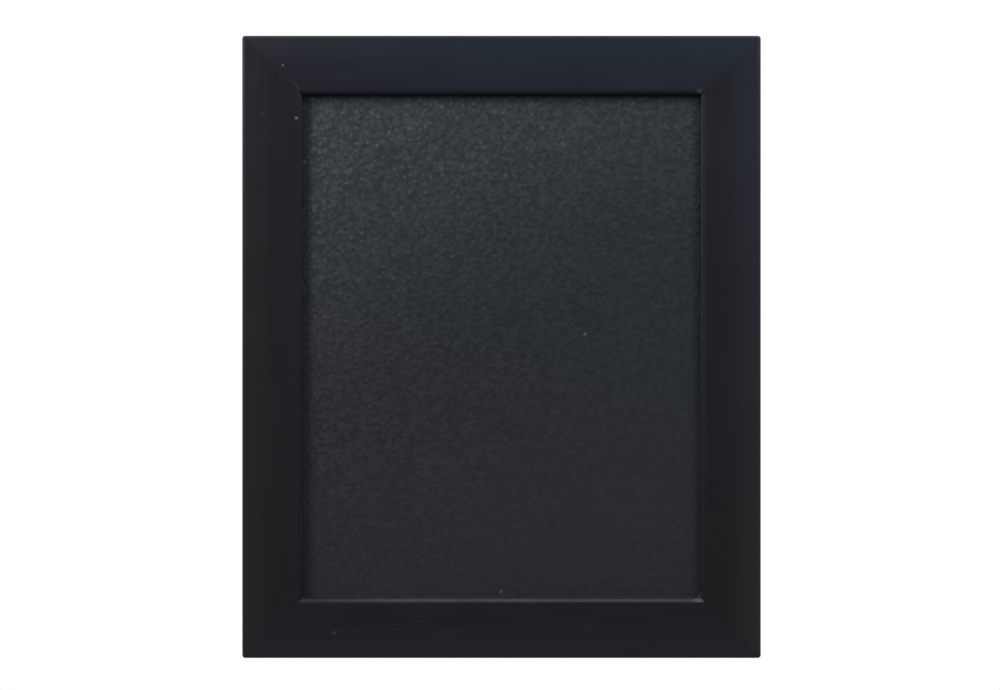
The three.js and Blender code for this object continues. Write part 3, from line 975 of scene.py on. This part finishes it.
# %% [markdown]
# The wire ring. A real one is bent from a length of wire whose ends meet on the straight side, out of
# sight in the fold. A circle stands for the wire's end. It is pulled along each straight run and spun
# round each bend, which is just what the bending machine does.

# %% Ring
WIRE_SEGMENTS = 20
CORNER_STEPS = 12
CURVE_STEPS = 40


def pulled_row(bm, edges, move):
    """Pulls a row of edges out in a straight line and returns the new row at the far end."""
    old = {vertex for edge in edges for vertex in edge.verts}
    made = bmesh.ops.extrude_edge_only(bm, edges=edges)["geom"]
    bmesh.ops.translate(bm, vec=move, verts=verts_of(made))
    return [edge for edge in edges_of(made) if old.isdisjoint(edge.verts)]


def spun_row(bm, edges, centre, axis, angle, steps):
    """Sweeps a row of edges round an axis and returns the new row at the end."""
    row = list({vertex for edge in edges for vertex in edge.verts}) + list(edges)
    result = bmesh.ops.spin(bm, geom=row, cent=centre, axis=axis, angle=angle, steps=steps)
    return edges_of(result["geom_last"])


def wire_ring(side):
    """The D, from one end of its wire to the other: bar, corner, side, curve, side, corner and bar."""
    bm = bmesh.new()
    corner = RING_HALF_WIDTH - RING_CORNER
    half_bar = corner - WIRE_END_GAP / 2
    wire_end = Matrix.Translation((WIRE_END_GAP / 2, 0, 0)) @ Matrix.Rotation(math.pi / 2, 4, "Y")
    bmesh.ops.create_circle(
        bm, cap_ends=True, radius=WIRE_RADIUS, segments=WIRE_SEGMENTS, matrix=wire_end
    )
    row = pulled_row(bm, bm.edges[:], (half_bar, 0, 0))
    row = spun_row(bm, row, (corner, 0, RING_CORNER), -WALL_SIDE, math.pi / 2, CORNER_STEPS)
    row = pulled_row(bm, row, (0, 0, SCREW_DROP - RING_CORNER))
    row = spun_row(bm, row, (0, 0, SCREW_DROP), -WALL_SIDE, math.pi, CURVE_STEPS)
    row = pulled_row(bm, row, (0, 0, RING_CORNER - SCREW_DROP))
    row = spun_row(bm, row, (-corner, 0, RING_CORNER), -WALL_SIDE, math.pi / 2, CORNER_STEPS)
    row = pulled_row(bm, row, (half_bar, 0, 0))
    bmesh.ops.contextual_create(bm, geom=row)
    bmesh.ops.rotate(bm, verts=bm.verts, cent=(0, 0, 0), matrix=Matrix.Rotation(RING_LEAN, 3, "X"))
    bmesh.ops.translate(bm, vec=pivot_of(side), verts=bm.verts)
    name = side + "_d_ring"
    piece = finished(bm, side + "_wire_ring", nickel, side + "_ring", replaces=[name])
    low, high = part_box(name)
    print(piece.name, "is", in_mm(piece.dimensions), "mm, and its node", in_mm(high - low))
    return piece


rings = [wire_ring(side) for side in SIDES]
print("Rings:", [len(ring.data.polygons) for ring in rings])

# %% [markdown]
# The strap. It is drawn as its middle surface and thickened at the end, as sheet metal is. The upper tail
# starts as the screw hole. Its rim is pulled out to the strap's round end below, and squared off above
# where the strap goes on. That square edge then travels: a bend, a slope, the fold round the wire, and
# the flat run back down to a lower tail, which is a copy of the first.

# %% Strap
HOLE_SEGMENTS = 64
BEND_STEPS = 8
FOLD_STEPS = 32
STRAP_EASE = 0.12 * MM
JUST_ABOVE = 1e-6


def strap_tail(bm, height):
    """A flat ring round the screw hole, round below and square above. Returns its square top edge."""
    centre = Vector((0, height - PIVOT_HEIGHT, -SCREW_DROP))
    lay_flat = Matrix.Translation(centre) @ Matrix.Rotation(math.pi / 2, 4, "X")
    hole = bmesh.ops.create_circle(bm, radius=SCREW_HOLE, segments=HOLE_SEGMENTS, matrix=lay_flat)
    rim = list({edge for vertex in hole["verts"] for edge in vertex.link_edges})
    outer = bmesh.ops.extrude_edge_only(bm, edges=rim)["geom"]
    top = SCREW_DROP - FOLD_REACH
    for vertex in verts_of(outer):
        out = (vertex.co - centre) / SCREW_HOLE
        sideways = upwards = STRAP_HALF
        if out.z > JUST_ABOVE:
            square = 1 / max(abs(out.x), abs(out.z))
            sideways, upwards = STRAP_HALF * square, top * square
        vertex.co = centre + Vector((out.x * sideways, 0, out.z * upwards))
    top_line = centre.z + top - MERGE
    return [edge for edge in edges_of(outer) if all(vertex.co.z > top_line for vertex in edge.verts)]


def folded_strap(side):
    """The strap from its upper tail, up and round the wire, and back down to its lower tail."""
    bm = bmesh.new()
    row = strap_tail(bm, UPPER_LAYER)
    bend = Vector((0, UPPER_LAYER + BEND_RADIUS - PIVOT_HEIGHT, -FOLD_REACH))
    row = spun_row(bm, row, bend, ACROSS, -SLOPE, BEND_STEPS)
    start = row[0].verts[0].co
    landing = Vector((0, FOLD_RADIUS * math.cos(SLOPE), -FOLD_RADIUS * math.sin(SLOPE)))
    row = pulled_row(bm, row, (0, landing.y - start.y, landing.z - start.z))
    row = spun_row(bm, row, (0, 0, 0), ACROSS, math.pi + SLOPE, FOLD_STEPS)
    pulled_row(bm, row, (0, 0, -FOLD_REACH))
    strap_tail(bm, LOWER_LAYER)
    bmesh.ops.translate(bm, vec=pivot_of(side), verts=bm.verts)
    name = side + "_hanger_strap"
    piece = finished(bm, side + "_folded_strap", nickel, replaces=[name])
    wall = piece.modifiers.new("sheet_metal", "SOLIDIFY")
    wall.thickness = STRAP_THICKNESS
    wall.offset = 0.0
    wall.use_even_offset = False
    ease_edges(piece, STRAP_EASE)
    keep_flats_flat(piece)
    return piece


straps = [folded_strap(side) for side in SIDES]
print("Straps:", [len(strap.data.polygons) for strap in straps])

# %% [markdown]
# The screw. A screw is a turned shape, so its profile is spun once round: point, shank, flat underside
# and crowned pan head, whose shoulder is a quarter of an ellipse. The cross recess starts as a small grid
# without its corners, pushed in and narrowed, and a fill joins its rim to the flat top of the crown.

# %% Screw
SCREW_SEAT = 1.8 * MM
SCREW_DEPTH = 8.2 * MM
SCREW_TIP = 3.0 * MM
SHANK_RADIUS = 1.45 * MM
HEAD_RADIUS = 2.8 * MM
HEAD_EASE = 0.15 * MM
HEAD_RIM = SCREW_SEAT + 0.5 * MM
CROWN_RADIUS = 1.7 * MM
CROWN = SCREW_SEAT + 1.7 * MM
SHOULDER_STEPS = 5
RECESS_HALF = 1.5 * MM
RECESS_ARM = 0.4 * MM
RECESS_DEPTH = 1.1 * MM
RECESS_TAPER = 0.62
SCREW_EASE = 0.05 * MM
TURN_STEPS = 48


def quarter_round(start, end, steps):
    """Points of a quarter ellipse that leaves start straight up and comes in level at end."""
    turns = [math.pi / 2 * step / steps for step in range(steps + 1)]
    width, rise = start[0] - end[0], end[1] - start[1]
    return [(end[0] + width * math.cos(turn), start[1] + rise * math.sin(turn)) for turn in turns]


def turned(profile):
    """A profile of radius and height, spun once round the axis towards the wall."""
    bm = bmesh.new()
    chain = [bm.verts.new((radius, height, 0)) for radius, height in profile]
    edges = [bm.edges.new(pair) for pair in zip(chain, chain[1:])]
    around = dict(cent=(0, 0, 0), axis=WALL_SIDE, angle=2 * math.pi, steps=TURN_STEPS, use_merge=True)
    bmesh.ops.spin(bm, geom=chain + edges, **around)
    bmesh.ops.remove_doubles(bm, verts=bm.verts, dist=MERGE)
    return bm


def in_a_corner(cell):
    """Tells the four corner cells of the recess's grid from the five that make the cross."""
    middle = cell.calc_center_median()
    return min(abs(middle.x), abs(middle.z)) > RECESS_ARM


def cross_recess(bm):
    """Cuts a cross into the open crown of a turned screw."""
    crown = [edge for edge in bm.edges if edge.is_boundary]
    lay_flat = Matrix.Translation((0, CROWN, 0)) @ Matrix.Rotation(math.pi / 2, 4, "X")
    grid = bmesh.ops.create_grid(bm, x_segments=3, y_segments=3, size=RECESS_HALF, matrix=lay_flat)
    cells = list({face for vertex in grid["verts"] for face in vertex.link_faces})
    for vertex in grid["verts"]:
        for axis in (0, 2):
            if abs(vertex.co[axis]) < RECESS_HALF / 2:
                vertex.co[axis] = math.copysign(RECESS_ARM, vertex.co[axis])
    bmesh.ops.delete(bm, geom=[cell for cell in cells if in_a_corner(cell)], context="FACES")
    cross = [cell for cell in cells if cell.is_valid]
    rim = [edge for face in cross for edge in face.edges if edge.is_boundary]
    sunk = bmesh.ops.extrude_face_region(bm, geom=cross)
    deep = verts_of(sunk["geom"])
    bmesh.ops.scale(bm, vec=(RECESS_TAPER, 1, RECESS_TAPER), verts=deep)
    bmesh.ops.translate(bm, vec=(0, -RECESS_DEPTH, 0), verts=deep)
    bmesh.ops.delete(bm, geom=[face for face in cross if face.is_valid], context="FACES_ONLY")
    rim = [edge for edge in rim if edge.is_valid]
    bmesh.ops.triangle_fill(bm, edges=crown + rim, use_beauty=True)


def hanger_screw(side):
    """A pan-head screw, driven into the stile through both tails of its strap."""
    point = [(0, -SCREW_DEPTH), (SHANK_RADIUS, SCREW_TIP - SCREW_DEPTH), (SHANK_RADIUS, SCREW_SEAT)]
    underside = [(HEAD_RADIUS - HEAD_EASE, SCREW_SEAT), (HEAD_RADIUS, SCREW_SEAT + HEAD_EASE)]
    shoulder = quarter_round((HEAD_RADIUS, HEAD_RIM), (CROWN_RADIUS, CROWN), SHOULDER_STEPS)
    bm = turned(point + underside + shoulder)
    cross_recess(bm)
    name = side + "_hanger_screw"
    pivot = pivot_of(side)
    bmesh.ops.translate(bm, vec=(pivot.x, timber_back, pivot.z - SCREW_DROP), verts=bm.verts)
    piece = finished(bm, side + "_pan_screw", nickel, replaces=[name])
    ease_edges(piece, SCREW_EASE)
    keep_flats_flat(piece)
    return piece


screws = [hanger_screw(side) for side in SIDES]
print("Screws:", [len(screw.data.polygons) for screw in screws])

# %% [markdown]
# Bumpers. Two rubber buttons keep the lower edge as far off the wall as the hangers keep the upper one.
# They are turned shapes too, with the shallow dimple that a mould leaves in the face. Rubber is black,
# quite matt and a little dusty.

# %% Bumpers
BUMPER_RADIUS = 5.5 * MM
BUMPER_EASE = 0.2 * MM
BUMPER_RIM = 1.2 * MM
BUMPER_HEIGHT = 4.0 * MM
BUMPER_FACE = 4.25 * MM
BUMPER_STEPS = 6
DIMPLE_RADIUS = 3.3 * MM
DIMPLE_SLOPE = 0.7 * MM
DIMPLE_DEPTH = 0.25 * MM
GRIT_DEPTH = 0.012 * MM
RUBBER_CLEAN = (0.007, 0.007, 0.008, 1)
RUBBER_DUSTY = (0.020, 0.0195, 0.019, 1)


def moulded_rubber():
    material, tree, shader = new_finish("black_rubber", Specular_IOR_Level=0.25)
    flat = place_on_piece(tree)
    grit = noise(tree, flat, 2600.0, detail=2.0)
    dust = noise(tree, flat, 240.0, detail=4.0, roughness=0.6)
    tone = mixed(tree, ramp(tree, dust, 0.45, 0.75), RUBBER_CLEAN, RUBBER_DUSTY)
    feed(tree, shader.inputs["Base Color"], tone)
    feed(tree, shader.inputs["Roughness"], ramp(tree, dust, 0.3, 0.7, 0.68, 0.88))
    feed(tree, shader.inputs["Normal"], relief(tree, grit, GRIT_DEPTH))
    return material


def wall_bumper(side, rubber):
    """A round button on a stile's back, with its foot to the wood and its dimple to the wall."""
    foot = [(0, 0), (BUMPER_RADIUS - BUMPER_EASE, 0), (BUMPER_RADIUS, BUMPER_EASE)]
    shoulder = quarter_round((BUMPER_RADIUS, BUMPER_RIM), (BUMPER_FACE, BUMPER_HEIGHT), BUMPER_STEPS)
    middle_of_slope = (DIMPLE_RADIUS - DIMPLE_SLOPE / 2, BUMPER_HEIGHT - DIMPLE_DEPTH / 3)
    slope_foot = (DIMPLE_RADIUS - DIMPLE_SLOPE, BUMPER_HEIGHT - DIMPLE_DEPTH * 3 / 4)
    dimple_middle = (0, BUMPER_HEIGHT - DIMPLE_DEPTH)
    dimple = [(DIMPLE_RADIUS, BUMPER_HEIGHT), middle_of_slope, slope_foot, dimple_middle]
    bm = turned(foot + shoulder + dimple)
    low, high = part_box(side + "_bumper")
    middle = (low + high) / 2
    bmesh.ops.translate(bm, vec=(middle.x, timber_back, middle.z), verts=bm.verts)
    piece = finished(bm, side + "_rubber_bumper", rubber, replaces=[side + "_bumper"])
    keep_flats_flat(piece)
    return piece


rubber = moulded_rubber()
bumpers = [wall_bumper(side, rubber) for side in SIDES]
print("Bumpers:", [len(bumper.data.polygons) for bumper in bumpers])
